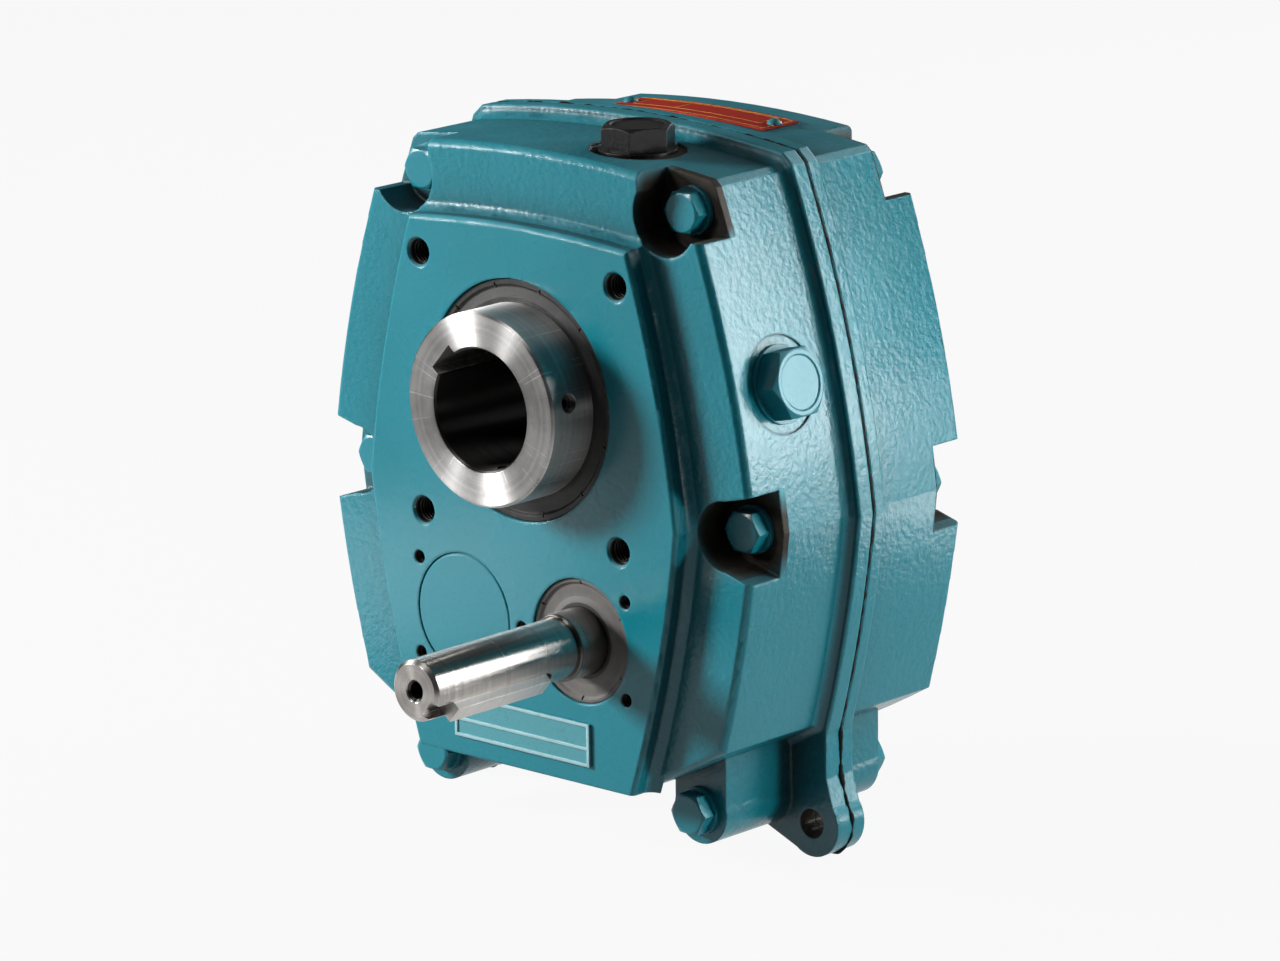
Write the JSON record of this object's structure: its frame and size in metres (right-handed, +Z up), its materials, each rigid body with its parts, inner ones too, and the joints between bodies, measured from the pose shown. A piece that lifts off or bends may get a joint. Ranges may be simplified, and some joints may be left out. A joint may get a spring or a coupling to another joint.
{
  "type": "shaft mounted gearbox",
  "caption": "Shaft mounted industrial gearbox: split cast casing on a hollow keyed output sleeve, geared to an offset keyed input shaft, with torque arm lugs below.",
  "frame": {"origin": "on the output axis, in the joint plane of the two casing halves", "axes": "+X to the right seen from the input side, +Y from the input side to the back along the output axis, +Z up"},
  "size_m": [0.245, 0.2685, 0.2995],
  "materials": {
    "casing_paint": "satin teal enamel over cast iron",
    "black_paint": "semi gloss black",
    "gasket": "dark joint sealant",
    "bright_steel": "turned and ground",
    "gear_steel": "cut teeth, oiled",
    "ball_steel": "polished",
    "cage_brass": "machined",
    "seal_rubber": "moulded, matt",
    "plate_red": "semi gloss red, blank"
  },
  "bodies": {
    "casing": {"front_casing": "casing_paint", "rear_casing": "casing_paint", "casing_gasket": "gasket", "case_bolts": "casing_paint", "case_washers": "casing_paint", "case_nuts": "casing_paint", "dowel_pins": "bright_steel", "filler_plug": "black_paint", "filler_washer": "gasket", "level_plug": "casing_paint", "level_washer": "casing_paint", "drain_plug": "casing_paint", "drain_washer": "casing_paint", "rating_plate": "plate_red", "plate_rivets": "casing_paint", "front_plate": "casing_paint", "front_output_seal": "seal_rubber", "rear_output_seal": "seal_rubber", "input_seal": "seal_rubber", "front_core_plug": "casing_paint", "rear_core_plugs": "casing_paint", "bearing_circlips": "black_paint", "output_outer_rings": "bright_steel", "intermediate_outer_rings": "bright_steel", "input_outer_rings": "bright_steel"},
    "output": {"output_sleeve": "bright_steel", "output_gear": "gear_steel", "output_gear_key": "bright_steel", "output_spacer": "bright_steel", "output_inner_rings": "bright_steel", "set_screws": "black_paint"},
    "intermediate": {"intermediate_shaft": "gear_steel", "intermediate_gear": "gear_steel", "intermediate_key": "bright_steel", "intermediate_inner_rings": "bright_steel"},
    "input": {"input_shaft": "bright_steel", "input_key": "bright_steel", "input_inner_rings": "bright_steel"},
    "output_cage": {"output_balls": "ball_steel", "output_cages": "cage_brass"},
    "intermediate_cage": {"intermediate_balls": "ball_steel", "intermediate_cages": "cage_brass"},
    "input_cage": {"input_balls": "ball_steel", "input_cages": "cage_brass"}
  },
  "joints": [
    {"name": "output_spin", "type": "hinge", "parent": "casing", "child": "output", "pos_m": [0, 0, 0], "axis": [0, 1, 0], "continuous": true},
    {"name": "intermediate_spin", "type": "hinge", "parent": "casing", "child": "intermediate", "pos_m": [-0.03225, 0, -0.09466], "axis": [0, 1, 0], "continuous": true},
    {"name": "input_spin", "type": "hinge", "parent": "casing", "child": "input", "pos_m": [0.03225, 0, -0.09466], "axis": [0, 1, 0], "continuous": true},
    {"name": "output_cage_spin", "type": "hinge", "parent": "casing", "child": "output_cage", "pos_m": [0, 0, 0], "axis": [0, 1, 0], "continuous": true},
    {"name": "intermediate_cage_spin", "type": "hinge", "parent": "casing", "child": "intermediate_cage", "pos_m": [-0.03225, 0, -0.09466], "axis": [0, 1, 0], "continuous": true},
    {"name": "input_cage_spin", "type": "hinge", "parent": "casing", "child": "input_cage", "pos_m": [0.03225, 0, -0.09466], "axis": [0, 1, 0], "continuous": true}
  ],
  "couplings": [
    {"joint": "intermediate_spin", "follows": "output_spin", "ratio": -4.8824},
    {"joint": "input_spin", "follows": "output_spin", "ratio": 13.373},
    {"joint": "output_cage_spin", "follows": "output_spin", "ratio": 0.45263},
    {"joint": "intermediate_cage_spin", "follows": "output_spin", "ratio": -1.9276},
    {"joint": "input_cage_spin", "follows": "output_spin", "ratio": 5.2856}
  ]
}
